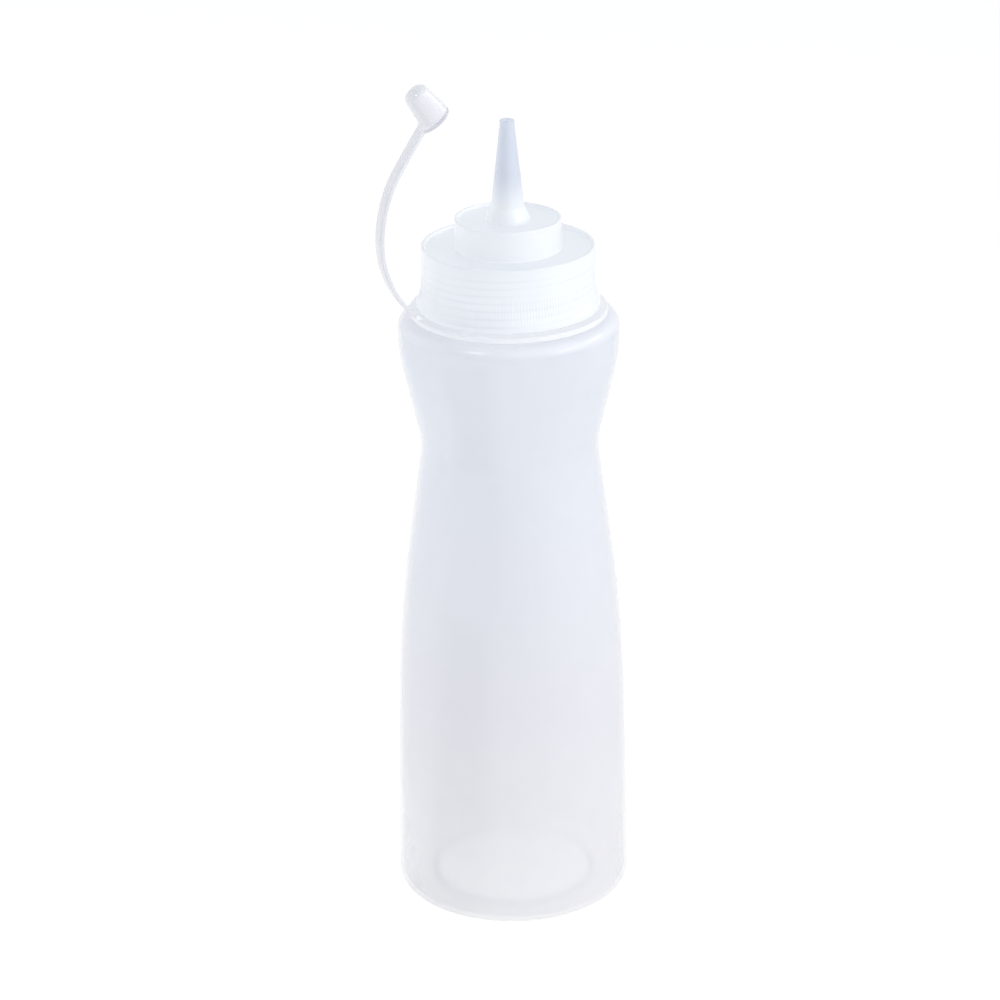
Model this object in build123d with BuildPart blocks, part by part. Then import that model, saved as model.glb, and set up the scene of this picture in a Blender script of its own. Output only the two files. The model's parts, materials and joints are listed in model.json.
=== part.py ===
"""Condiment squeeze bottle with a screw-on nozzle cap and a tip cap on a flexible strap.

The frame has its origin at the middle of the foot, on the table, with +Z up the bottle's axis.
The strap and the open tip cap lean out to the left and a little to the front.
All lengths are in millimetres and all angles in degrees.
"""

import os
from math import cos, radians, sin

from build123d import *

# Bottle: corners of the outline before they are rounded, as a radius and a height
foot_r = 32.4
belly_r = 30.8
belly_z = 78.5
waist_r = 23.6
waist_z = 131.5
shoulder_r = 29.45
bulge_z = 157.5
shoulder_z = 167.6

# Bottle: how round those corners are
heel_round = 2.5
belly_round = 430.0
waist_round = 20.0
bulge_round = 50.0
shoulder_round = 3.6
neck_root_round = 0.8

# Bottle: wall, foot and neck
bottle_wall = 1.0
floor_thickness = 1.4
punt_r = 22.3
punt_height = 3.0
neck_r = 20.0
neck_wall = 1.4
neck_height = 15.6
lip_round = 0.3

# Sealing washer between the neck's lip and the cap's deck
washer_thickness = 1.0
washer_overhang = 0.2
washer_side_gap = 0.25
seat_gap = 0.1

# Screw cap: the space inside the skirt takes the neck's thread
thread_space = 1.65
skirt_wall = 1.3
skirt_flare = 1.35
skirt_foot_height = 1.4
skirt_flare_height = 5.2
skirt_flare_round = 8.0
skirt_lead_in = 0.8
skirt_lead_in_height = 3.0
skirt_foot_round = 0.5
deck_thickness = 1.3
deck_rim_width = 1.1
deck_rim_height = 0.8
deck_rim_round = 0.5
tier_r = 14.05
tier_height = 7.3
tier_wall = 1.2
tier_rim_width = 0.9
tier_rim_height = 0.8
tier_rim_round = 0.4
edge_round = 0.3

# Nozzle, one moulding with the screw cap
nozzle_height = 27.0
nozzle_flare_r = 5.8
nozzle_flare_step = 0.7
nozzle_root_r = 4.35
nozzle_root_height = 4.0
nozzle_root_round = 2.5
nozzle_neck_r = 2.05
nozzle_land_r = 1.98
nozzle_land_height = 2.2
nozzle_end_round = 0.35
orifice_r = 0.75
orifice_length = 3.4
orifice_taper = 0.6
bore_top_r = 1.35
tip_round = 0.15
bore_root_r = 3.1

# Tether ring, loose on the neck under the skirt
ring_bore_gap = 1.65
ring_overhang = 2.0
ring_thickness = 1.5
ring_round = 0.4
ring_gap = 0.25
skirt_gap = 0.4

# Strap from the ring up to the tip cap, bowed outwards in an upright plane
strap_azimuth = 200.0
strap_width = 4.2
strap_thickness = 1.1
strap_edge_round = 0.3
lower_bend_r = 27.5
upper_bend_r = 37.0
lug_bite = 1.25
lug_height = 1.15
lug_start_angle = 39.0
strap_start_angle = 43.0
strap_end_angle = 122.5
strap_straight = 11.0

# Tip cap, a tapered cup that goes over the nozzle's end
tip_cap_clearance = 0.3
tip_cap_end_gap = 0.2
tip_cap_depth = 8.7
tip_cap_lip_wall = 1.153
tip_cap_lip_bevel = 0.45
tip_cap_lip_bevel_height = 0.9
tip_cap_end_wall = 0.87
tip_cap_end_thickness = 1.15
tip_cap_end_round = 2.0
tip_cap_lean = 69.4
tab_length = 1.5
tab_bite = 0.7
tab_height = 0.62

# Radii that follow from how the pieces fit
skirt_bore_r = neck_r + thread_space
cap_r = skirt_bore_r + skirt_wall
skirt_foot_r = cap_r + skirt_flare
ring_bore_r = neck_r + ring_bore_gap
ring_r = skirt_foot_r + ring_overhang

# Heights that follow from how the pieces stack
neck_top = shoulder_z + neck_height
washer_z = neck_top + seat_gap
deck_under = washer_z + washer_thickness + seat_gap
deck_top = deck_under + deck_thickness
tier_deck = deck_top + tier_height
nozzle_top = tier_deck + nozzle_height
ring_z = shoulder_z + ring_gap
ring_top = ring_z + ring_thickness
skirt_z = ring_top + skirt_gap

# Tip cap's bore, which follows the nozzle's taper at a steady clearance
nozzle_taper_length = nozzle_height - nozzle_root_height - nozzle_land_height
nozzle_taper = (nozzle_root_r - nozzle_neck_r) / nozzle_taper_length
tip_cap_cover = tip_cap_depth - tip_cap_end_gap - nozzle_land_height
tip_cap_bore_r = nozzle_neck_r + nozzle_taper * tip_cap_cover + tip_cap_clearance
tip_cap_bore_end_r = nozzle_land_r + tip_cap_clearance
tip_cap_mouth_r = tip_cap_bore_r + tip_cap_lip_wall
tip_cap_end_r = tip_cap_bore_end_r + tip_cap_end_wall
tip_cap_length = tip_cap_depth + tip_cap_end_thickness


def wall_corners(inset, floor):
    """Corners of the bottle's wall from the foot up to the shoulder, moved inwards by inset."""
    return [
        (foot_r - inset, floor),
        (belly_r - inset, belly_z),
        (waist_r - inset, waist_z),
        (shoulder_r - inset, bulge_z),
        (shoulder_r - inset, shoulder_z - inset),
    ]


def wall_rounds(inset):
    """Radii of those corners: convex ones shrink with the inset, and the waist's grows."""
    return [
        heel_round - inset,
        belly_round - inset,
        waist_round + inset,
        bulge_round - inset,
        shoulder_round - inset,
    ]


# Bottle body: one blown shell with a hollow foot, a waist, a round shoulder and an open neck
with BuildPart() as bottle_body:
    with BuildSketch(Plane.XZ) as bottle_section:
        with BuildLine():
            inner_corners = wall_corners(bottle_wall, floor_thickness)[::-1]
            bore_r = neck_r - neck_wall
            FilletPolyline(
                (punt_r, 0),
                *wall_corners(0, 0),
                (neck_r, shoulder_z),
                (neck_r, neck_top),
                (bore_r, neck_top),
                (bore_r, shoulder_z - bottle_wall),
                *inner_corners,
                (punt_r, floor_thickness),
                radius=[
                    *wall_rounds(0),
                    neck_root_round,
                    lip_round,
                    lip_round,
                    neck_root_round + bottle_wall,
                    *wall_rounds(bottle_wall)[::-1],
                ],
            )
            punt_curve = (punt_r**2 + punt_height**2) / (2 * punt_height)
            RadiusArc((punt_r, floor_thickness), (0, floor_thickness + punt_height), -punt_curve)
            Line((0, floor_thickness + punt_height), (0, punt_height))
            RadiusArc((0, punt_height), (punt_r, 0), punt_curve)
        make_face()
    revolve(axis=Axis.Z)
bottle_body.part.label = "bottle_body"

# Sealing washer: a flat ring that the cap's deck presses on the neck's lip
with BuildPart() as seal_washer:
    with BuildSketch(Plane.XY.offset(washer_z)):
        Circle(skirt_bore_r - washer_side_gap)
        Circle(bore_r - washer_overhang, mode=Mode.SUBTRACT)
    extrude(amount=washer_thickness)
seal_washer.part.label = "seal_washer"

# Screw cap: a flared skirt, a sunken deck in a rim, a smaller tier with its own rim, and the nozzle
cap_corners = [
    ((skirt_bore_r + skirt_lead_in, skirt_z), edge_round),
    ((skirt_foot_r, skirt_z), edge_round),
    ((skirt_foot_r, skirt_z + skirt_foot_height), skirt_foot_round),
    ((cap_r, skirt_z + skirt_flare_height), skirt_flare_round),
    ((cap_r, deck_top + deck_rim_height), deck_rim_round),
    ((cap_r - deck_rim_width, deck_top + deck_rim_height), deck_rim_round),
    ((cap_r - deck_rim_width, deck_top), edge_round),
    ((tier_r, deck_top), edge_round),
    ((tier_r, tier_deck + tier_rim_height), tier_rim_round),
    ((tier_r - tier_rim_width, tier_deck + tier_rim_height), tier_rim_round),
    ((tier_r - tier_rim_width, tier_deck), edge_round),
    ((nozzle_flare_r, tier_deck), 0),
    ((nozzle_flare_r, tier_deck + nozzle_flare_step), edge_round),
    ((nozzle_root_r, tier_deck + nozzle_root_height), nozzle_root_round),
    ((nozzle_neck_r, nozzle_top - nozzle_land_height), 0),
    ((nozzle_land_r, nozzle_top - nozzle_land_height), 0),
    ((nozzle_land_r, nozzle_top), nozzle_end_round),
    ((orifice_r, nozzle_top), 0),
    ((orifice_r, nozzle_top - orifice_length), 0),
    ((bore_top_r, nozzle_top - orifice_length - orifice_taper), 0),
    ((bore_root_r, tier_deck), 0),
    ((bore_root_r, tier_deck - tier_wall), edge_round),
    ((tier_r - tier_wall, tier_deck - tier_wall), edge_round),
    ((tier_r - tier_wall, deck_under), edge_round),
    ((skirt_bore_r, deck_under), edge_round),
    ((skirt_bore_r, skirt_z + skirt_lead_in_height), 0),
]
with BuildPart() as screw_cap:
    with BuildSketch(Plane.XZ) as cap_section:
        with BuildLine():
            FilletPolyline(
                *[point for point, _ in cap_corners],
                radius=[rounding for _, rounding in cap_corners],
                close=True,
            )
        make_face()
    revolve(axis=Axis.Z)
screw_cap.part.label = "screw_cap"

# Upright plane of the strap: X points out from the bottle's axis and Y points up
outward = Vector(cos(radians(strap_azimuth)), sin(radians(strap_azimuth)), 0)
strap_plane = Plane(origin=(0, 0, 0), x_dir=outward, z_dir=outward.cross(Vector(0, 0, 1)))


def slope(angle):
    """Direction in the strap's plane, as an angle above the outward direction."""
    return outward * cos(radians(angle)) + Vector(0, 0, sin(radians(angle)))


def bend(start, start_angle, end_angle, bend_r):
    """An arc of the strap's middle line, from a point in its plane, between two such angles."""
    place = strap_plane.to_local_coords(start)
    tangent = (cos(radians(start_angle)), sin(radians(start_angle)))
    return JernArc((place.X, place.Y), tangent, bend_r, end_angle - start_angle)


def strap_section(line):
    """Plane across the start of a line, with X along the strap's width."""
    return Plane(origin=line @ 0, x_dir=strap_plane.z_dir, z_dir=line % 0)


# Tether ring: a flat ring with a short upturned lug that the strap grows from
with BuildPart() as tether_ring:
    with BuildSketch(Plane.XZ) as ring_section:
        with Locations(((ring_bore_r + ring_r) / 2, ring_z + ring_thickness / 2)):
            RectangleRounded(ring_r - ring_bore_r, ring_thickness, ring_round)
    revolve(axis=Axis.Z)
    with BuildLine(strap_plane) as lug_line:
        lug_start = outward * (ring_r - lug_bite) + Vector(0, 0, ring_z + lug_height)
        bend(lug_start, lug_start_angle, strap_start_angle, lower_bend_r)
    with BuildSketch(strap_section(lug_line.line)):
        RectangleRounded(strap_width, strap_thickness, strap_edge_round)
    sweep(path=lug_line.line)
tether_ring.part.label = "tether_ring"

# Strap: a flat band, curved outwards from the ring's lug and straight near the tip cap
with BuildPart() as tether_strap:
    with BuildLine(strap_plane) as strap_line:
        lower_bend = bend(lug_line.line @ 1, strap_start_angle, 90, lower_bend_r)
        upper_bend = bend(lower_bend @ 1, 90, strap_end_angle, upper_bend_r)
        bend_end = strap_plane.to_local_coords(upper_bend @ 1)
        PolarLine((bend_end.X, bend_end.Y), strap_straight, strap_end_angle)
    with BuildSketch(strap_section(strap_line.line)):
        RectangleRounded(strap_width, strap_thickness, strap_edge_round)
    sweep(path=strap_line.line)
tether_strap.part.label = "tether_strap"

# Tip cap: an open cup that leans inwards on the strap's end, with a tab at its mouth
strap_end = strap_line.line @ 1
tab_end = strap_end + slope(strap_end_angle) * tab_length
tip_cap_up = slope(strap_end_angle - tip_cap_lean)
tip_cap_out = slope(strap_end_angle - tip_cap_lean - 90)
mouth = tab_end - tip_cap_out * (tip_cap_mouth_r - tab_bite) - tip_cap_up * tab_height
with BuildPart() as tip_cap:
    with BuildSketch(Plane(origin=mouth, x_dir=tip_cap_out, z_dir=strap_plane.z_dir)):
        with BuildLine():
            FilletPolyline(
                (0, tip_cap_depth),
                (tip_cap_bore_end_r, tip_cap_depth),
                (tip_cap_bore_r, 0),
                (tip_cap_mouth_r - tip_cap_lip_bevel, 0),
                (tip_cap_mouth_r, tip_cap_lip_bevel_height),
                (tip_cap_end_r, tip_cap_length),
                (0, tip_cap_length),
                radius=[edge_round, tip_round, tip_round, edge_round, tip_cap_end_round],
            )
            Line((0, tip_cap_length), (0, tip_cap_depth))
        make_face()
    revolve(axis=Axis(mouth, tip_cap_up))
    with BuildLine() as tab_line:
        Line(strap_end, tab_end)
    with BuildSketch(strap_section(tab_line.line)):
        RectangleRounded(strap_width, strap_thickness, strap_edge_round)
    sweep(path=tab_line.line)
tip_cap.part.label = "tip_cap"

os.makedirs("parts", exist_ok=True)
export_step(bottle_body.part, "parts/bottle_body.step")
export_step(seal_washer.part, "parts/seal_washer.step")
export_step(screw_cap.part, "parts/screw_cap.step")
export_step(tether_ring.part, "parts/tether_ring.step")
export_step(tether_strap.part, "parts/tether_strap.step")
export_step(tip_cap.part, "parts/tip_cap.step")
print("middle of the tip cap's mouth", mouth, "way it opens", tip_cap_up * -1)
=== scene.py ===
"""Finishes, strap, threads, grip, light and camera for a condiment squeeze bottle.

The file is laid out as an add-on and is run as a script. It loads the bottle's fixed frame, gives
every rigid piece its milky plastic, and makes the pieces that the frame holds only in plain form:
the neck's thread, the cap's inner thread and grip ribs, the lip of the tip cap, and the
flexible strap.
Lengths are in metres and angles in radians, in the frame's own axes.
"""

import json
from math import ceil, cos, pi, radians, sin, tau

import bpy
from bpy.props import FloatProperty, FloatVectorProperty, IntProperty, PointerProperty
from mathutils import Matrix, Vector


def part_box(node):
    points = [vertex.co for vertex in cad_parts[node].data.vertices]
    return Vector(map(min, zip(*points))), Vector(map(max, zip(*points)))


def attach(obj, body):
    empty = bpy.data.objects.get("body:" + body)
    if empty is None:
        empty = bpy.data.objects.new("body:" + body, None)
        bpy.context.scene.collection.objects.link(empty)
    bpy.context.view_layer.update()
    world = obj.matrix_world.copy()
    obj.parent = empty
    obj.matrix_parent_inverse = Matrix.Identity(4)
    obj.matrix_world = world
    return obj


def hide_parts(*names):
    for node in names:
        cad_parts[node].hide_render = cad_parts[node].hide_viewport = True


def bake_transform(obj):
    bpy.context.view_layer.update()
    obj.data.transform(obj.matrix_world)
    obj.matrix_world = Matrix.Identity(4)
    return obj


bl_info = {
    "name": "Condiment Squeeze Bottle",
    "version": (1, 0, 0),
    "blender": (4, 5, 0),
    "location": "3D View > Sidebar > Squeeze Bottle",
    "description": "Finishes, strap, threads, grip and studio for a squeeze bottle",
    "category": "Object",
}

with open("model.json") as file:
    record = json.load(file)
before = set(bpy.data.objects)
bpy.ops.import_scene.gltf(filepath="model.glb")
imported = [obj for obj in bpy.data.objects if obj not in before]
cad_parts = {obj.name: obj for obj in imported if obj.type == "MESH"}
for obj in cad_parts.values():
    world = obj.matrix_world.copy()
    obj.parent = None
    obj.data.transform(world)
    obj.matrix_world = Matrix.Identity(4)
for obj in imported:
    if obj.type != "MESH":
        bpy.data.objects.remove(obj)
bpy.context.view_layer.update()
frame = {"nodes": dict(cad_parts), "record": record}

UP = Vector((0, 0, 1))
NOZZLE_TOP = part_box("screw_cap")[1].z
SKIRT_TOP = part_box("seal_washer")[1].z
RING_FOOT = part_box("tether_ring")[0].z
RING_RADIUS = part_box("tether_ring")[1].x

# Where the neck's thread starts, round the bottle's axis
NECK_PHASE = radians(250)

# The hollow under the foot, how far past it the wall clears, and how near and how far from it
# the thick edge is full and gone
HOLLOW_RADIUS = 0.0223
HOLLOW_FADE = 0.0015
HOLLOW_EDGE = (0.0004, 0.0014)

# Heights between which a finish of the blown wall turns into the next; towards the foot it takes on
# painted bounce light from the floor, and at the neck's root a paler tone that is partly painted
# light
FOOT_BOUNCE_TINT = (0.02, 0.16)
NECK_ROOT = (0.1638, 0.1662)
CLEAR_FOOT = (0.012, 0.040)
HOLLOW_TOP = (0.007, 0.009)

# How far under the nozzle's tip its thin bluer end starts, and where it is full
NOZZLE_TINT = (0.024, 0.013)

# Polyethylene, and how far its roughness and its opacity vary over a face
REFRACTION = 1.51
ROUGHNESS_SWING = 0.02
OPACITY_SWING = 0.02

# The middle part of what a noise texture gives
NOISE_RANGE = (0.3, 0.7)

# Width and height of each lamp, and of each window that shows in gloss alone
LAMP_SIZES = {"soft": (0.6, 0.6), "side": (0.5, 0.5), "rim": (0.8, 0.8), "top": (0.6, 0.6)}
WINDOW_SIZES = {"wide": (1.4, 0.09), "small": (0.22, 0.16)}

# The camera's sensor in millimetres, as Blender takes it, and the nearest that it sees
SENSOR_WIDTH = 36
NEAREST_SEEN = 0.05

# Faces that meet at more than this angle keep a sharp edge
SHARP_EDGE = radians(40)


# Properties


def length_property(name, default, description):
    """A length in metres, shown in the scene's own units."""
    return FloatProperty(
        name=name, description=description, default=default, unit="LENGTH", precision=5
    )


def angle_property(name, default, description):
    """An angle in radians, given here in degrees."""
    return FloatProperty(
        name=name, description=description, default=radians(default), subtype="ANGLE"
    )


def colour_property(name, default, description):
    """A colour without alpha."""
    return FloatVectorProperty(
        name=name, description=description, default=default, subtype="COLOR", min=0, max=1
    )


def power_property(name, default, description):
    """A lamp's power in watts."""
    return FloatProperty(name=name, description=description, default=default, min=0, unit="POWER")


def share_property(name, default, description):
    """A number from nought to one."""
    return FloatProperty(name=name, description=description, default=default, min=0, max=1)


class BottleThreadSizes(bpy.types.PropertyGroup):
    """Thread between the bottle's neck and the cap."""

    neck_radius: length_property("Neck Radius", 0.020, "Outside of the neck")
    skirt_bore: length_property("Skirt Bore", 0.02165, "Inside of the cap's skirt")
    lead: length_property("Lead", 0.004, "Rise of the thread in one turn")
    bead_height: length_property("Bead Height", 0.0012, "How far a bead stands proud")
    root_width: length_property("Root Width", 0.0017, "Width of a bead where it starts")
    crest_width: length_property("Crest Width", 0.0006, "Width of a bead's flat top")
    neck_start: length_property("Neck Start", 0.1722, "Height of the neck bead's lower end")
    neck_turns: FloatProperty(name="Neck Turns", description="Turns on the neck", default=2.1)
    cap_start: length_property("Cap Start", 0.1742, "Height of the cap bead's lower end")
    cap_turns: FloatProperty(name="Cap Turns", description="Turns in the cap", default=1.8)


class BottleGripSizes(bpy.types.PropertyGroup):
    """Fine upright ribs round the lower half of the cap's skirt."""

    count: IntProperty(name="Ribs", description="Number of ribs", default=180, min=3)
    height: length_property("Rib Height", 0.00006, "How far a rib stands proud")
    width: length_property("Rib Width", 0.00046, "Width of a rib")
    low: length_property("Low End", 0.1718, "Height of the ribs' lower ends")
    high: length_property("High End", 0.1786, "Height of the ribs' upper ends")
    crest: share_property("Rib Crest", 0.35, "Part of a rib's width that is its flat top")
    sink: length_property("Rib Sink", 0.00005, "How far a rib reaches into the skirt")


class BottleStrapSizes(bpy.types.PropertyGroup):
    """Flexible strap from the tether ring up to the tip cap."""

    azimuth: angle_property("Azimuth", 200, "Direction in which the strap bows out")
    width: length_property("Width", 0.0047, "Across the flat faces")
    thickness: length_property("Thickness", 0.0011, "Between the flat faces")
    edge: length_property("Edge Rounding", 0.0003, "Radius of the long edges")
    ring_radius: length_property("Ring Radius", RING_RADIUS, "Outside of the tether ring")
    lug_bite: length_property("Lug Bite", 0.00125, "How far the lug starts inside the ring")
    lug_height: length_property("Lug Height", 0.00115, "From the ring's foot to the lug's start")
    lug_slope: angle_property("Lug Slope", 39, "Slope at which the lug leaves the ring")
    low_slope: angle_property("Low Slope", 43, "Slope at which the strap leaves the lug")
    high_slope: angle_property("High Slope", 122.5, "Slope of the strap's straight end")
    low_bend: length_property("Low Bend", 0.0275, "Bend radius up to the upright middle")
    high_bend: length_property("High Bend", 0.037, "Bend radius past the upright middle")
    straight: length_property("Straight End", 0.011, "Length of the straight end")
    flex_length: length_property("Flexing End", 0.015, "End that follows the tip cap")
    lip_radius: length_property("Lip Radius", 0.00045, "Bead round the tip cap's open end")


class BottleFinishes(bpy.types.PropertyGroup):
    """Colours and surface of the milky plastics, with painted light at the foot, shoulder and ring
    and painted shade on the lip.
    """

    bottle: colour_property("Bottle", (0.775, 0.805, 0.88), "Thin blown wall")
    bottle_thick: colour_property("Bottle Thick", (0.80, 0.83, 0.895), "Where the wall is thick")
    # Painted bounce light: a warmer, paler tone towards the foot stands in for light from the white
    # floor
    thick_shoulder_painted_light: colour_property("Shoulder", (0.88, 0.895, 0.955), "Thick wall at the neck's root")
    # Partly the thick wall at the neck's root, partly painted light: paler, to lift the shade under
    # the tether ring
    bottle_foot_bounce: colour_property("Bottle Foot", (0.825, 0.815, 0.86), "Towards the foot")
    cap: colour_property("Cap", (0.935, 0.96, 1.0), "Cap's skirt, decks and the nozzle's root")
    nozzle: colour_property("Nozzle", (0.70, 0.745, 0.85), "Thin wall at the nozzle's tip")
    # Painted light: whiter than the rest of the tether's moulding, to lift the shade that the skirt
    # casts on the ring
    ring: colour_property("Ring", (0.965, 0.97, 1.0), "Tether's ring under the skirt")
    tether: colour_property("Tether", (0.84, 0.84, 0.885), "Tip cap, and strap and lip where pale")
    tether_thick: colour_property("Tether Thick", (0.87, 0.87, 0.91), "Where the tip cap is thick")
    strap: colour_property("Strap", (0.80, 0.795, 0.84), "Thin strap, darker than the tip cap")
    # Painted shade: the lip bead is darker, for the shade on the underside of the tip cap's open
    # end
    lip: colour_property("Lip", (0.62, 0.62, 0.69), "Tip cap's open end, in its own shade")
    foam: colour_property("Foam", (0.88, 0.88, 0.86), "Sealing washer")
    bottle_opacity: share_property("Bottle Opacity", 0.50, "Share of light a wall's face stops")
    shoulder_opacity: share_property("Shoulder Opacity", 0.75, "The same round the neck's root")
    foot_opacity: share_property("Foot Opacity", 0.32, "The same near the foot, where it is clear")
    base_opacity: share_property("Base Opacity", 0.2, "The same in the clear hollow base")
    edge_opacity: share_property("Edge Opacity", 0.62, "The same round the hollow's thick edge")
    cap_opacity: share_property("Cap Opacity", 0.93, "Share of light the cap's face stops")
    ring_opacity: share_property("Ring Opacity", 0.92, "Share the tether ring's face stops")
    strap_opacity: share_property("Strap Opacity", 0.96, "Share that strap and tip cap stop")
    light_share: share_property("Light Share", 0.04, "Part of an opacity that also stops light")
    bottle_roughness: share_property("Bottle Roughness", 0.13, "Roughness of the blown wall")
    cap_roughness: share_property("Cap Roughness", 0.24, "Roughness of screw cap, ring and strap")
    tip_roughness: share_property("Tip Roughness", 0.13, "Roughness of the glossier tip cap")


class BottleStudio(bpy.types.PropertyGroup):
    """Floor, lamps and camera."""

    floor_size: length_property("Floor Size", 8.0, "Side of the square floor")
    floor_white: share_property("Floor White", 0.2, "Colour of the floor under the lamps")
    floor_glow: share_property("Floor Glow", 0.86, "White that the floor adds where it is seen")
    floor_bounce: share_property("Floor Bounce", 0.68, "Light that the floor sends up")
    card_azimuth: angle_property("Card Azimuth", -48, "From the front to the left")
    card_spread: angle_property("Card Spread", 50, "Angle that the dark card takes up")
    card_reach: length_property("Card Reach", 0.37, "From the bottle's axis to its far side")
    card_fade: length_property("Card Fade", 0.03, "Half the width over which its far side fades")
    card_blur: share_property("Card Blur", 0.4, "Part of half its angle over which it fades")
    room_dim: share_property("Room Dim", 0.51, "Light of the room's darker side")
    room_bright: share_property("Room Bright", 0.585, "Light of the room's brighter side")
    room_azimuth: angle_property("Room Azimuth", 20, "Brighter side, from the front to the right")
    room_colour: colour_property("Room Colour", (0.91, 0.95, 1.0), "Tint of the room's light")
    lamp_distance: length_property("Lamp Distance", 1.2, "From the bottle's middle to a lamp")
    soft_power: power_property("Soft Power", 3.6, "Soft lamp in front on the right")
    soft_azimuth: angle_property("Soft Azimuth", 16, "From the front to the right")
    soft_elevation: angle_property("Soft Elevation", 15, "Over the level")
    side_power: power_property("Side Power", 2.8, "Soft lamp on the right")
    side_azimuth: angle_property("Side Azimuth", 85, "From the front to the right")
    side_elevation: angle_property("Side Elevation", 32, "Over the level")
    rim_power: power_property("Rim Power", 5.8, "Soft lamp behind on the left")
    rim_azimuth: angle_property("Rim Azimuth", -116, "From the front, round the left side")
    rim_elevation: angle_property("Rim Elevation", 10, "Over the level")
    top_power: power_property("Top Power", 2.3, "Soft lamp high on the right")
    top_azimuth: angle_property("Top Azimuth", 120, "From the front, round the right side")
    top_elevation: angle_property("Top Elevation", 66, "Over the level")
    wide_power: power_property("Wide Window Power", 4.0, "Wide window, seen in gloss alone")
    wide_azimuth: angle_property("Wide Window Azimuth", 85, "From the front to the right")
    wide_elevation: angle_property("Wide Window Elevation", 32, "Over the level")
    small_power: power_property("Small Window Power", 2.0, "Small window, seen in gloss alone")
    small_azimuth: angle_property("Small Window Azimuth", -42, "From the front to the left")
    small_elevation: angle_property("Small Window Elevation", 46, "Over the level")
    camera_side: length_property("Camera Side", -0.00281, "Camera's place along X")
    camera_distance: length_property("Camera Distance", 0.7630, "Camera's distance along Y")
    camera_height: length_property("Camera Height", 0.43216, "Camera's height over the floor")
    camera_pitch: angle_property("Camera Pitch", 22.66, "How far the camera looks down")
    camera_roll: angle_property("Camera Roll", 0.589, "How far the camera leans clockwise")
    lens: FloatProperty(
        name="Lens", description="Focal length on a 36 mm frame", default=109.63, unit="CAMERA"
    )


# Node materials


def new_material(name):
    """An empty node material with its node tree and its shader."""
    material = bpy.data.materials.new(name)
    material.use_nodes = True
    tree = material.node_tree
    tree.nodes.clear()
    shader = tree.nodes.new("ShaderNodeBsdfPrincipled")
    output = tree.nodes.new("ShaderNodeOutputMaterial")
    tree.links.new(shader.outputs["BSDF"], output.inputs["Surface"])
    return material, tree, shader


def own_place(tree):
    """The piece's own coordinates, in metres."""
    return tree.nodes.new("ShaderNodeTexCoord").outputs["Object"]


def noise(tree, per_metre, detail=2, stretch=(1, 1, 1)):
    """Noise over the piece's own coordinates, with so many features in a metre."""
    mapping = tree.nodes.new("ShaderNodeMapping")
    mapping.inputs["Scale"].default_value = stretch
    texture = tree.nodes.new("ShaderNodeTexNoise")
    texture.inputs["Scale"].default_value = per_metre
    texture.inputs["Detail"].default_value = detail
    tree.links.new(own_place(tree), mapping.inputs["Vector"])
    tree.links.new(mapping.outputs["Vector"], texture.inputs["Vector"])
    return texture.outputs["Fac"]


def spread(tree, value, source, target):
    """A value taken smoothly from one range to another, and held at its ends."""
    node = tree.nodes.new("ShaderNodeMapRange")
    node.interpolation_type = "SMOOTHSTEP"
    node.inputs["From Min"].default_value, node.inputs["From Max"].default_value = source
    node.inputs["To Min"].default_value, node.inputs["To Max"].default_value = target
    tree.links.new(value, node.inputs["Value"])
    return node.outputs["Result"]


def mottle(tree, factor, low, high):
    """Noise spread between two numbers."""
    return spread(tree, factor, NOISE_RANGE, (low, high))


def maths(tree, operation, *operands):
    """The result of a Math node whose operands are numbers or sockets."""
    node = tree.nodes.new("ShaderNodeMath")
    node.operation = operation
    for socket, operand in zip(node.inputs, operands):
        if isinstance(operand, (int, float)):
            socket.default_value = operand
        else:
            tree.links.new(operand, socket)
    return node.outputs["Value"]


def blend_colours(tree, factor, first, second):
    """A mix of a colour or a socket with a second colour."""
    mix = tree.nodes.new("ShaderNodeMix")
    mix.data_type = "RGBA"
    if isinstance(first, bpy.types.NodeSocket):
        tree.links.new(first, mix.inputs["A"])
    else:
        mix.inputs["A"].default_value = (*first, 1)
    mix.inputs["B"].default_value = (*second, 1)
    tree.links.new(factor, mix.inputs["Factor"])
    return mix.outputs["Result"]


def towards(tree, factor, value, goal):
    """A value taken by a factor towards a number."""
    short_of = maths(tree, "SUBTRACT", goal, value)
    return maths(tree, "ADD", value, maths(tree, "MULTIPLY", factor, short_of))


def roughen(tree, shader, height, strength, distance):
    """Bump on the shader's normal."""
    bump = tree.nodes.new("ShaderNodeBump")
    bump.inputs["Strength"].default_value = strength
    bump.inputs["Distance"].default_value = distance
    tree.links.new(height, bump.inputs["Height"])
    tree.links.new(bump.outputs["Normal"], shader.inputs["Normal"])


def translucent(tree, shader, opacity, light_share):
    """Opacity as seen. Light on its way stops at less of it, since the plastic scatters it on."""
    rays = tree.nodes.new("ShaderNodeLightPath")
    passing = maths(
        tree, "MAXIMUM", rays.outputs["Is Shadow Ray"], rays.outputs["Is Diffuse Ray"]
    )
    kept = spread(tree, passing, (0, 1), (1, light_share))
    tree.links.new(maths(tree, "MULTIPLY", opacity, kept), shader.inputs["Alpha"])


def satin(tree, shader, roughness):
    """Faintly uneven gloss of polyethylene."""
    fine = noise(tree, per_metre=240, detail=4)
    uneven = mottle(tree, fine, roughness - ROUGHNESS_SWING, roughness + ROUGHNESS_SWING)
    tree.links.new(uneven, shader.inputs["Roughness"])
    shader.inputs["IOR"].default_value = REFRACTION


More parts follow.
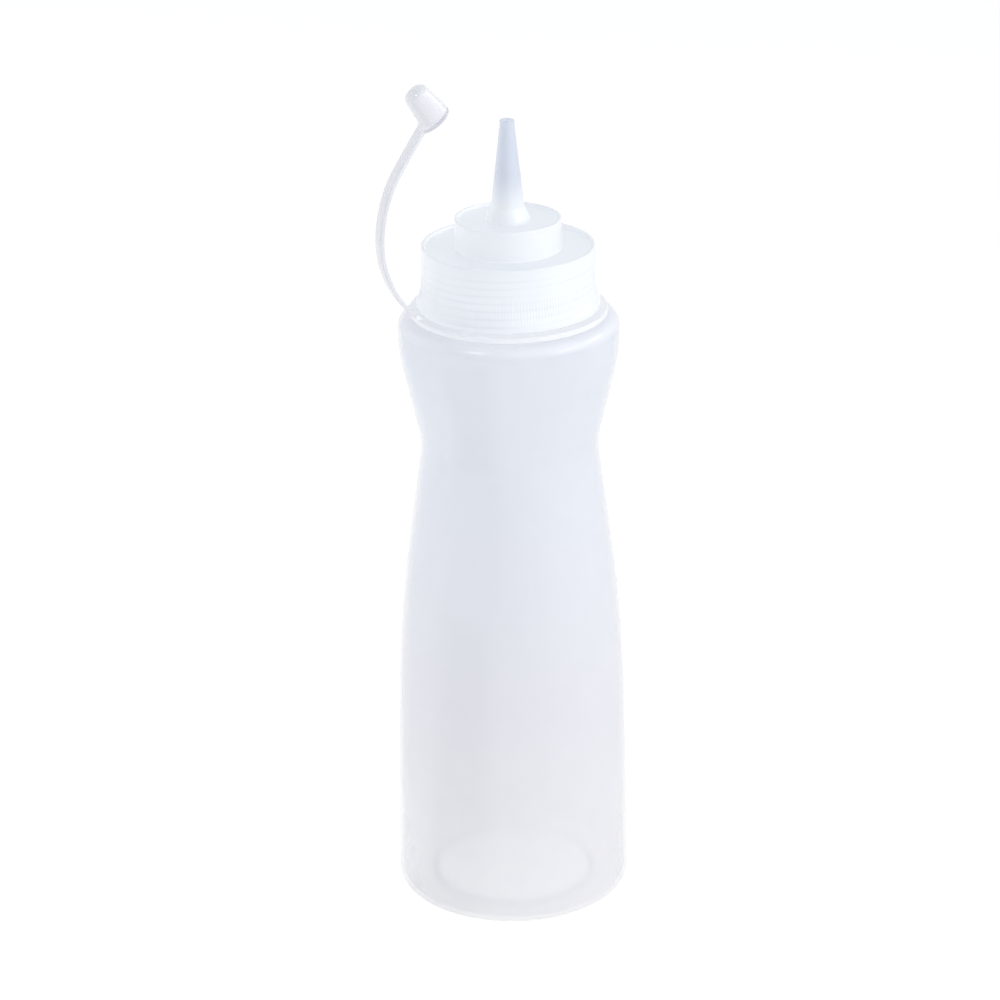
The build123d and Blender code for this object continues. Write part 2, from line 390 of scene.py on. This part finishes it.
def blown_plastic(name, look):
    """Thin blown wall: flow streaks and slow waves; thick round the neck and painted paler there to
    lift the shade under the ring; clearer at the foot, with painted bounce light from the floor.
    """
    material, tree, shader = new_material(name)
    _, _, height, radius = cylinder_place(tree)
    streaks = mottle(tree, noise(tree, per_metre=70, stretch=(1, 1, 0.12)), 0, 1)
    wall_colour = blend_colours(tree, streaks, look.bottle, look.bottle_thick)
    # Painted bounce light from the floor, blended in towards the foot
    painted_bounce = spread(tree, height, FOOT_BOUNCE_TINT, (1, 0))
    at_neck = spread(tree, height, NECK_ROOT, (0, 1))
    colour = blend_colours(tree, painted_bounce, wall_colour, look.bottle_foot_bounce)
    # Paler at the neck's root: thick wall, and painted light that lifts the shade under the tether
    # ring
    colour = blend_colours(tree, at_neck, colour, look.thick_shoulder_painted_light)
    tree.links.new(colour, shader.inputs["Base Color"])
    cloud = mottle(tree, noise(tree, per_metre=30), -OPACITY_SWING, OPACITY_SWING)
    wall = spread(tree, height, CLEAR_FOOT, (look.foot_opacity, look.bottle_opacity))
    in_base = spread(tree, height, HOLLOW_TOP, (1, 0))
    hollow = spread(tree, radius, (HOLLOW_RADIUS, HOLLOW_RADIUS + HOLLOW_FADE), (1, 0))
    off_edge = maths(tree, "ABSOLUTE", maths(tree, "SUBTRACT", radius, HOLLOW_RADIUS))
    edge = spread(tree, off_edge, HOLLOW_EDGE, (1, 0))
    opacity = towards(tree, at_neck, maths(tree, "ADD", wall, cloud), look.shoulder_opacity)
    for place, goal in ((hollow, look.base_opacity), (edge, look.edge_opacity)):
        opacity = towards(tree, maths(tree, "MULTIPLY", place, in_base), opacity, goal)
    translucent(tree, shader, opacity, look.light_share)
    satin(tree, shader, look.bottle_roughness)
    waves = noise(tree, per_metre=45, detail=1, stretch=(1, 1, 0.4))
    roughen(tree, shader, waves, strength=0.10, distance=0.0002)
    return material


def cap_plastic(name, look, thread):
    """Moulded cap: white where it is thick, bluer up the nozzle, clearer between thread beads."""
    line_strength = (0.03, 0.17)
    cloudiest = 0.08
    thin_loss = 0.15
    material, tree, shader = new_material(name)
    place = cylinder_place(tree)
    height = place[2]
    tinted = [NOZZLE_TOP - below for below in NOZZLE_TINT]
    up_nozzle = spread(tree, height, tinted, (0, 1))
    broken = noise(tree, per_metre=65, detail=1, stretch=(1, 1, 2))
    uneven = mottle(tree, broken, *line_strength)
    lines = maths(tree, "MULTIPLY", between_beads(tree, place, thread), uneven)
    cloud = mottle(tree, noise(tree, per_metre=55), 0, cloudiest)
    thin = maths(tree, "ADD", maths(tree, "MAXIMUM", up_nozzle, lines), cloud)
    tree.links.new(blend_colours(tree, thin, look.cap, look.nozzle), shader.inputs["Base Color"])
    opacity = spread(tree, thin, (0, 1), (look.cap_opacity, look.cap_opacity - thin_loss))
    translucent(tree, shader, opacity, look.light_share)
    satin(tree, shader, look.cap_roughness)
    roughen(tree, shader, noise(tree, per_metre=120, detail=1), strength=0.06, distance=0.0001)
    return material


def tether_plastic(name, look, shades, opacity, roughness):
    """Soft moulded plastic of the tether, faintly cloudy between two shades."""
    material, tree, shader = new_material(name)
    cloud = mottle(tree, noise(tree, per_metre=55), 0, 1)
    tree.links.new(blend_colours(tree, cloud, *shades), shader.inputs["Base Color"])
    uneven = spread(tree, cloud, (0, 1), (opacity - OPACITY_SWING, opacity))
    translucent(tree, shader, uneven, look.light_share)
    satin(tree, shader, roughness)
    roughen(tree, shader, noise(tree, per_metre=120, detail=1), strength=0.06, distance=0.0001)
    return material


def cylinder_place(tree):
    """X, Y, height and distance from the bottle's axis of the shaded point."""
    place = tree.nodes.new("ShaderNodeSeparateXYZ")
    tree.links.new(own_place(tree), place.inputs["Vector"])
    x, y, height = (place.outputs[axis] for axis in "XYZ")
    squares = maths(tree, "ADD", maths(tree, "MULTIPLY", x, x), maths(tree, "MULTIPLY", y, y))
    return x, y, height, maths(tree, "SQRT", squares)


def between_beads(tree, place, thread):
    """One on the skirt midway between a neck bead and a cap bead, nought at a bead or elsewhere."""
    line_edge = (0.22, 0.45)
    bore_fade = 0.0003
    deck_fade = 0.001
    x, y, height, radius = place
    turn = maths(tree, "ARCTAN2", y, x)
    climbed = maths(tree, "SUBTRACT", height, maths(tree, "MULTIPLY", turn, thread.lead / tau))
    first = thread.neck_start - thread.lead * NECK_PHASE / tau
    half_leads = maths(tree, "DIVIDE", maths(tree, "SUBTRACT", climbed, first), thread.lead / 2)
    from_bead = maths(tree, "PINGPONG", half_leads, 0.5)
    line = spread(tree, from_bead, line_edge, (0, 1))
    on_skirt = spread(tree, radius, (thread.skirt_bore - bore_fade, thread.skirt_bore), (0, 1))
    under_deck = spread(tree, height, (SKIRT_TOP - deck_fade, SKIRT_TOP), (1, 0))
    return maths(tree, "MULTIPLY", line, maths(tree, "MULTIPLY", on_skirt, under_deck))


def washer_foam(name, colour):
    """White closed-cell foam, matte and finely pitted."""
    cells_per_metre = 2600
    pit_shade = 0.9
    matte = 0.85
    material, tree, shader = new_material(name)
    cells = tree.nodes.new("ShaderNodeTexVoronoi")
    cells.inputs["Scale"].default_value = cells_per_metre
    tree.links.new(own_place(tree), cells.inputs["Vector"])
    shade = [pit_shade * channel for channel in colour]
    pits = mottle(tree, noise(tree, per_metre=400), 0, 1)
    tree.links.new(blend_colours(tree, pits, colour, shade), shader.inputs["Base Color"])
    shader.inputs["Roughness"].default_value = matte
    roughen(tree, shader, cells.outputs["Distance"], strength=0.5, distance=0.0001)
    return material


def finish_node(node, material):
    """Gives a carried-over piece its material in every slot."""
    mesh = frame["nodes"][node].data
    mesh.materials.clear()
    mesh.materials.append(material)


def let_light_past(piece):
    """Light on its way ignores a small milky piece, because it would scatter through it."""
    piece.visible_diffuse = False
    piece.visible_shadow = False


# Mesh helpers


def make_piece(name, verts, faces, material):
    """A smooth-shaded piece that keeps its sharp edges."""
    mesh = bpy.data.meshes.new(name)
    mesh.from_pydata(verts, [], faces)
    mesh.shade_smooth()
    mesh.set_sharp_from_angle(angle=SHARP_EDGE)
    mesh.materials.append(material)
    piece = bpy.data.objects.new(name, mesh)
    bpy.context.scene.collection.objects.link(piece)
    return piece


def skin(sections, closed_start=True, closed_end=True):
    """Vertices and faces of a tube through sections that all have the same number of points."""
    around = len(sections[0])
    verts = [point for section in sections for point in section]
    faces = strips(len(sections), around)[:-around]
    if closed_start:
        faces.append(tuple(reversed(range(around))))
    if closed_end:
        faces.append(tuple(range(len(verts) - around, len(verts))))
    return verts, faces


def closed_ring(sections):
    """Vertices and faces of a tube whose last section joins its first."""
    verts = [point for section in sections for point in section]
    return verts, strips(len(sections), len(sections[0]))


def strips(rows, around):
    """Faces between each section and the next. The last strip leads back to the first section."""
    faces = []
    for row in range(rows):
        following = (row + 1) % rows
        for k in range(around):
            beside = (k + 1) % around
            faces.append((
                row * around + k,
                row * around + beside,
                following * around + beside,
                following * around + k,
            ))
    return faces


def polar(radius, angle, height):
    """A point at a radius and angle round the bottle's axis."""
    return Vector((radius * cos(angle), radius * sin(angle), height))


def helical_bead(wall_radius, proud, start_height, turns, sizes, phase):
    """Sections of a thread bead: it runs out at both ends and sinks a little into its wall."""
    steps_per_turn = 96
    run_out = radians(35)
    lowest_share = 0.02
    narrowest_share = 0.5
    sink_share = 0.12
    steps = ceil(turns * steps_per_turn)
    sections = []
    for step in range(steps + 1):
        turned = tau * turns * step / steps
        from_end = min(turned, tau * turns - turned)
        fullness = sin(pi / 2 * min(1, from_end / run_out))
        sunk = wall_radius - proud * sink_share
        crest = wall_radius + proud * max(fullness, lowest_share)
        middle = start_height + sizes.lead * turned / tau
        narrowing = narrowest_share + (1 - narrowest_share) * fullness
        root = sizes.root_width / 2 * narrowing
        flat = sizes.crest_width / 2
        corners = [
            (sunk, middle - root),
            (crest, middle - flat),
            (crest, middle + flat),
            (sunk, middle + root),
        ]
        sections.append([polar(r, phase + turned, z) for r, z in corners])
    return sections


# Operators


class BOTTLE_OT_finish_body(bpy.types.Operator):
    """Give the blown bottle and the sealing washer their finishes"""

    bl_idname = "bottle.finish_body"
    bl_label = "Finish Bottle and Washer"

    def execute(self, context):
        look = context.scene.bottle_finishes
        finish_node("bottle_body", blown_plastic("blown_plastic", look))
        finish_node("seal_washer", washer_foam("washer_foam", look.foam))
        let_light_past(frame["nodes"]["seal_washer"])
        return {"FINISHED"}


class BOTTLE_OT_neck_thread(bpy.types.Operator):
    """Wind the thread bead round the bottle's neck"""

    bl_idname = "bottle.neck_thread"
    bl_label = "Neck Thread"

    def execute(self, context):
        sizes = context.scene.bottle_thread
        sections = helical_bead(
            sizes.neck_radius, sizes.bead_height, sizes.neck_start, sizes.neck_turns, sizes,
            phase=NECK_PHASE,
        )
        plastic = bpy.data.materials["blown_plastic"]
        bead = make_piece("neck_thread", *skin(sections), plastic)
        let_light_past(bead)
        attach(bead, "bottle")
        return {"FINISHED"}


class BOTTLE_OT_screw_cap(bpy.types.Operator):
    """Finish the screw cap, and add its inner thread and its grip ribs"""

    bl_idname = "bottle.screw_cap"
    bl_label = "Screw Cap"

    def execute(self, context):
        look = context.scene.bottle_finishes
        moulded = cap_plastic("cap_plastic", look, context.scene.bottle_thread)
        finish_node("screw_cap", moulded)
        self.add_thread(context.scene.bottle_thread, moulded)
        self.add_grip(context.scene.bottle_grip, moulded)
        return {"FINISHED"}

    def add_thread(self, sizes, plastic):
        """The cap's bead lies half a lead above the neck's at the same angle."""
        phase = NECK_PHASE + tau * (sizes.cap_start - sizes.neck_start) / sizes.lead + pi
        sections = helical_bead(
            sizes.skirt_bore, -sizes.bead_height, sizes.cap_start, sizes.cap_turns, sizes, phase
        )
        sections = [section[::-1] for section in sections]
        bead = make_piece("cap_thread", *skin(sections), plastic)
        let_light_past(bead)
        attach(bead, "closure")

    def add_grip(self, sizes, plastic):
        """Upright ribs that follow the skirt's flare and run out at both ends."""
        outline = skirt_outline()
        rows = 10
        blunt_end = 0.04
        roundness = 0.4
        verts, faces = [], []
        for rib in range(sizes.count):
            middle = tau * rib / sizes.count
            sections = []
            for row in range(rows + 1):
                share = row / rows
                height = sizes.low + (sizes.high - sizes.low) * share
                wall = radius_at(outline, height)
                inner_share = min(max(share, blunt_end), 1 - blunt_end)
                proud = sizes.height * sin(pi * inner_share) ** roundness
                half = sizes.width / 2 / wall
                sections.append([
                    polar(wall - sizes.sink, middle - half, height),
                    polar(wall + proud, middle - half * sizes.crest, height),
                    polar(wall + proud, middle + half * sizes.crest, height),
                    polar(wall - sizes.sink, middle + half, height),
                ])
            rib_verts, rib_faces = skin(sections)
            faces += [tuple(i + len(verts) for i in face) for face in rib_faces]
            verts += rib_verts
        grip = make_piece("cap_grip_ribs", verts, faces, plastic)
        let_light_past(grip)
        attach(grip, "closure")


def skirt_outline():
    """Height and outside radius of the cap's skirt, from the frame's own cap."""
    above_ribs = 0.006
    clear_of_bore = 0.0012
    sizes = bpy.context.scene.bottle_grip
    outline = {}
    for vertex in frame["nodes"]["screw_cap"].data.vertices:
        height = round(vertex.co.z, 5)
        radius = vertex.co.xy.length
        if height < sizes.high + above_ribs and radius > outline.get(height, 0):
            outline[height] = radius
    bore = bpy.context.scene.bottle_thread.skirt_bore
    return sorted((z, r) for z, r in outline.items() if r > bore + clear_of_bore)


def radius_at(outline, height):
    """Radius of an outline at a height, in a straight line between its two nearest points."""
    for (low, low_radius), (high, high_radius) in zip(outline, outline[1:]):
        if low <= height <= high:
            share = (height - low) / (high - low)
            return low_radius + (high_radius - low_radius) * share
    return outline[-1][1]


class BOTTLE_OT_tether(bpy.types.Operator):
    """Finish the tether's ring and tip cap, and make its flexible strap"""

    bl_idname = "bottle.tether"
    bl_label = "Tether"

    def execute(self, context):
        look = context.scene.bottle_finishes
        sizes = context.scene.bottle_strap
        # The ring's near-white shades are painted light that lifts the skirt's shade on it
        ring = tether_plastic(
            "ring_plastic", look, (look.ring, look.cap), look.ring_opacity, look.cap_roughness
        )
        strap = tether_plastic(
            "strap_plastic", look, (look.strap, look.tether), look.strap_opacity,
            look.cap_roughness,
        )
        tip = tether_plastic(
            "tip_plastic", look, (look.tether, look.tether_thick), look.strap_opacity,
            look.tip_roughness,
        )
        # The lip's dark shade is painted shade for the underside of the tip cap's open end
        lip = tether_plastic(
            "lip_plastic", look, (look.lip, look.tether), look.strap_opacity, look.tip_roughness
        )
        finish_node("tether_ring", ring)
        let_light_past(frame["nodes"]["tether_ring"])
        finish_node("tip_cap", tip)
        self.add_lip(sizes, lip)
        self.add_strap(sizes, strap)
        return {"FINISHED"}

    def add_lip(self, sizes, plastic):
        """A round bead along the outer edge of the tip cap's open end."""
        joints = frame["record"]["behaviour"]["joints"]
        push = next(joint for joint in joints if joint["name"] == "tip_cap_push")
        axis = Vector(push["axis"]).normalized()
        points = [vertex.co for vertex in frame["nodes"]["tip_cap"].data.vertices]
        end = max(point.dot(axis) for point in points)
        rim = [point for point in points if end - point.dot(axis) < sizes.lip_radius]
        lowest = [min(point[i] for point in rim) for i in range(3)]
        highest = [max(point[i] for point in rim) for i in range(3)]
        middle = (Vector(lowest) + Vector(highest)) / 2
        middle += axis * (end - sizes.lip_radius - middle.dot(axis))
        reach = max((point - middle - axis * (point - middle).dot(axis)).length for point in rim)
        side = axis.orthogonal().normalized()
        other = axis.cross(side)
        around, steps = 96, 12
        sunk_share = 0.45
        turns = [tau * j / steps for j in range(steps)]
        sections = []
        for angle in (tau * k / around for k in range(around)):
            out = side * cos(angle) + other * sin(angle)
            centre = middle + out * (reach - sizes.lip_radius * sunk_share)
            sections.append([
                centre + sizes.lip_radius * (out * cos(turn) + axis * sin(turn)) for turn in turns
            ])
        lip = make_piece("tip_cap_lip", *closed_ring(sections), plastic)
        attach(lip, "tip")

    def add_strap(self, sizes, plastic):
        """Two lengths of one strap, the long one from the ring and the end at the tip cap; the
        frame's plain strap is hidden.
        """
        outward = polar(1, sizes.azimuth, 0)
        across = outward.cross(UP)
        path = strap_path(sizes)
        length = path[-1][0]
        cut = min(range(len(path)), key=lambda i: abs(length - path[i][0] - sizes.flex_length))
        outline = rounded_strip(sizes.width, sizes.thickness, sizes.edge)
        sections = []
        for _, distance, height, slope in path:
            middle = outward * distance + UP * height
            outer = outward * sin(slope) - UP * cos(slope)
            sections.append([middle + across * u + outer * v for u, v in outline])
        lower = make_piece("strap_lower", *skin(sections[: cut + 1], closed_end=False), plastic)
        upper = make_piece("strap_upper", *skin(sections[cut:], closed_start=False), plastic)
        for piece in (lower, upper):
            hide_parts("tether_strap")
        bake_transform(lower)
        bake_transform(upper)


def strap_path(sizes):
    """Length so far, distance from the axis, height and slope along the strap's middle line."""
    step = 0.0005
    distance = sizes.ring_radius - sizes.lug_bite
    height = RING_FOOT + sizes.lug_height
    lug = bend(0, distance, height, sizes.lug_slope, sizes.low_slope, sizes.low_bend, step)
    _, distance, height, _ = lug[-1]
    path = bend(0, distance, height, sizes.low_slope, pi / 2, sizes.low_bend, step)
    path += bend(*path[-1][:3], pi / 2, sizes.high_slope, sizes.high_bend, step)[1:]
    so_far, distance, height, slope = path[-1]
    count = ceil(sizes.straight / step)
    for k in range(1, count + 1):
        gone = sizes.straight * k / count
        path.append(
            (so_far + gone, distance + gone * cos(slope), height + gone * sin(slope), slope)
        )
    return path


def bend(so_far, distance, height, start_slope, end_slope, radius, step):
    """Points of an arc that turns from one slope to another."""
    count = ceil(radius * (end_slope - start_slope) / step)
    points = []
    for k in range(count + 1):
        slope = start_slope + (end_slope - start_slope) * k / count
        points.append((
            so_far + radius * (slope - start_slope),
            distance + radius * (sin(slope) - sin(start_slope)),
            height + radius * (cos(start_slope) - cos(slope)),
            slope,
        ))
    return points


def rounded_strip(width, thickness, edge):
    """Outline of the strap's section, anticlockwise, with rounded corners."""
    steps = 5
    outline = []
    for quarter, (u, v) in enumerate([(1, 1), (-1, 1), (-1, -1), (1, -1)]):
        for k in range(steps + 1):
            angle = pi / 2 * (quarter + k / steps)
            outline.append((
                u * (width / 2 - edge) + edge * cos(angle),
                v * (thickness / 2 - edge) + edge * sin(angle),
            ))
    return outline


class BOTTLE_OT_studio(bpy.types.Operator):
    """Set the white floor, the soft light and the camera"""

    bl_idname = "bottle.studio"
    bl_label = "Studio"

    def execute(self, context):
        studio = context.scene.bottle_studio
        self.add_floor(studio)
        self.add_world(context.scene, studio)
        self.add_lamps(studio)
        self.add_camera(context.scene, studio)
        context.scene.view_settings.view_transform = "Standard"
        return {"FINISHED"}

    def add_floor(self, studio):
        """A white floor that keeps the bottle's shadow, and shows a dark card in gloss alone."""
        half = studio.floor_size / 2
        corners = [(-half, -half, 0), (half, -half, 0), (half, half, 0), (-half, half, 0)]
        material, tree, shader = new_material("white_floor")
        white = studio.floor_white
        shader.inputs["Base Color"].default_value = (white, white, white, 1)
        shader.inputs["Roughness"].default_value = 1
        shader.inputs["Specular IOR Level"].default_value = 0
        shader.inputs["Emission Color"].default_value = (1, 1, 1, 1)
        glow = spread(tree, seen_directly(tree), (0, 1), (studio.floor_bounce, studio.floor_glow))
        beside_card = maths(tree, "SUBTRACT", 1, dark_card(tree, studio))
        shown = maths(tree, "MULTIPLY", glow, beside_card)
        tree.links.new(shown, shader.inputs["Emission Strength"])
        floor = make_piece("white_floor", corners, [(0, 1, 2, 3)], material)

    def add_world(self, scene, studio):
        """White to the camera and in reflections, and for the rest a pale light that is
        stronger from one side."""
        world = bpy.data.worlds.new("white_room")
        world.use_nodes = True
        tree = world.node_tree
        tree.nodes.clear()
        output = tree.nodes.new("ShaderNodeOutputWorld")
        seen = tree.nodes.new("ShaderNodeBackground")
        lit = tree.nodes.new("ShaderNodeBackground")
        direction = tree.nodes.new("ShaderNodeTexCoord").outputs["Generated"]
        facing = tree.nodes.new("ShaderNodeVectorMath")
        facing.operation = "DOT_PRODUCT"
        facing.inputs[1].default_value = heading(studio.room_azimuth, 0)
        tree.links.new(direction, facing.inputs[0])
        side = tree.nodes.new("ShaderNodeMapRange")
        side.inputs["From Min"].default_value = -1
        side.inputs["To Min"].default_value = studio.room_dim
        side.inputs["To Max"].default_value = studio.room_bright
        tree.links.new(facing.outputs["Value"], side.inputs["Value"])
        tree.links.new(side.outputs["Result"], lit.inputs["Strength"])
        seen.inputs["Color"].default_value = (1, 1, 1, 1)
        lit.inputs["Color"].default_value = (*studio.room_colour, 1)
        mix = tree.nodes.new("ShaderNodeMixShader")
        tree.links.new(seen_directly(tree), mix.inputs["Fac"])
        tree.links.new(lit.outputs["Background"], mix.inputs[1])
        tree.links.new(seen.outputs["Background"], mix.inputs[2])
        tree.links.new(mix.outputs["Shader"], output.inputs["Surface"])
        scene.world = world

    def add_lamps(self, studio):
        """Soft lamps that light the plastic, and two windows that show only in its gloss."""
        for name, (width, height) in (LAMP_SIZES | WINDOW_SIZES).items():
            azimuth, elevation, power = (
                getattr(studio, f"{name}_{value}") for value in ("azimuth", "elevation", "power")
            )
            lamp = add_lamp(
                f"{name}_lamp", heading(azimuth, elevation), studio.lamp_distance,
                width, height, power,
            )
            lamp.visible_diffuse = name in LAMP_SIZES
            lamp.visible_glossy = name in WINDOW_SIZES

    def add_camera(self, scene, studio):
        """The photograph's viewing angle, for a square image."""
        data = bpy.data.cameras.new("camera")
        data.sensor_width = SENSOR_WIDTH
        data.lens = studio.lens
        data.clip_start = NEAREST_SEEN
        camera = bpy.data.objects.new("camera", data)
        scene.collection.objects.link(camera)
        place = Vector((studio.camera_side, -studio.camera_distance, studio.camera_height))
        tilt = Matrix.Rotation(pi / 2 - studio.camera_pitch, 4, "X")
        roll = Matrix.Rotation(-studio.camera_roll, 4, "Z")
        camera.matrix_world = Matrix.Translation(place) @ tilt @ roll
        scene.camera = camera


def dark_card(tree, studio):
    """One on a dark card on the floor, which shows in gloss alone, and nought beside it."""
    x, y, _, radius = cylinder_place(tree)
    azimuth = maths(tree, "ARCTAN2", x, maths(tree, "MULTIPLY", y, -1))
    off = maths(tree, "ABSOLUTE", maths(tree, "SUBTRACT", azimuth, studio.card_azimuth))
    half = studio.card_spread / 2
    blur = half * studio.card_blur
    across = spread(tree, off, (half - blur, half + blur), (1, 0))
    reach, fade = studio.card_reach, studio.card_fade
    along = spread(tree, radius, (reach - fade, reach + fade), (1, 0))
    rays = tree.nodes.new("ShaderNodeLightPath")
    on_card = maths(tree, "MULTIPLY", across, along)
    return maths(tree, "MULTIPLY", on_card, rays.outputs["Is Glossy Ray"])


def seen_directly(tree):
    """One for the rays that show the surroundings: to the camera, in gloss and through walls."""
    rays = tree.nodes.new("ShaderNodeLightPath")
    shown = maths(tree, "MAXIMUM", rays.outputs["Is Camera Ray"], rays.outputs["Is Glossy Ray"])
    return maths(tree, "MAXIMUM", shown, rays.outputs["Is Transmission Ray"])


def heading(azimuth, elevation):
    """The direction at an azimuth from the front to the right and an elevation."""
    return Vector((
        cos(elevation) * sin(azimuth), -cos(elevation) * cos(azimuth), sin(elevation),
    ))


def add_lamp(name, direction, distance, width, height, power):
    """A rectangular lamp that faces the bottle's middle."""
    data = bpy.data.lights.new(name, "AREA")
    data.shape = "RECTANGLE"
    data.size = width
    data.size_y = height
    data.energy = power
    lamp = bpy.data.objects.new(name, data)
    lamp.location = UP * NOZZLE_TOP / 2 + direction * distance
    lamp.rotation_mode = "QUATERNION"
    lamp.rotation_quaternion = (-direction).to_track_quat("-Z", "Y")
    bpy.context.scene.collection.objects.link(lamp)
    return lamp


class BOTTLE_PT_pieces(bpy.types.Panel):
    """Lists the steps that dress the bottle"""

    bl_label = "Squeeze Bottle"
    bl_idname = "BOTTLE_PT_pieces"
    bl_space_type = "VIEW_3D"
    bl_region_type = "UI"
    bl_category = "Squeeze Bottle"

    def draw(self, context):
        for step in STEPS:
            self.layout.operator(step.bl_idname)
        for group in GROUPS:
            box = self.layout.box()
            settings = getattr(context.scene, group)
            for name in settings.bl_rna.properties.keys():
                if name not in ("rna_type", "name"):
                    box.prop(settings, name)


STEPS = (
    BOTTLE_OT_finish_body,
    BOTTLE_OT_neck_thread,
    BOTTLE_OT_screw_cap,
    BOTTLE_OT_tether,
    BOTTLE_OT_studio,
)
GROUPS = {
    "bottle_thread": BottleThreadSizes,
    "bottle_grip": BottleGripSizes,
    "bottle_strap": BottleStrapSizes,
    "bottle_finishes": BottleFinishes,
    "bottle_studio": BottleStudio,
}


def register():
    """Register the settings, the operators and the panel."""
    for name, group in GROUPS.items():
        bpy.utils.register_class(group)
        setattr(bpy.types.Scene, name, PointerProperty(type=group))
    for step in STEPS:
        bpy.utils.register_class(step)
    bpy.utils.register_class(BOTTLE_PT_pieces)


def unregister():
    """Remove what register added."""
    bpy.utils.unregister_class(BOTTLE_PT_pieces)
    for step in reversed(STEPS):
        bpy.utils.unregister_class(step)
    for name, group in reversed(GROUPS.items()):
        delattr(bpy.types.Scene, name)
        bpy.utils.unregister_class(group)


def main():
    """Make every piece in order."""
    register()
    bpy.ops.bottle.finish_body()
    bpy.ops.bottle.neck_thread()
    bpy.ops.bottle.screw_cap()
    bpy.ops.bottle.tether()
    bpy.ops.bottle.studio()


if __name__ == "__main__":
    main()
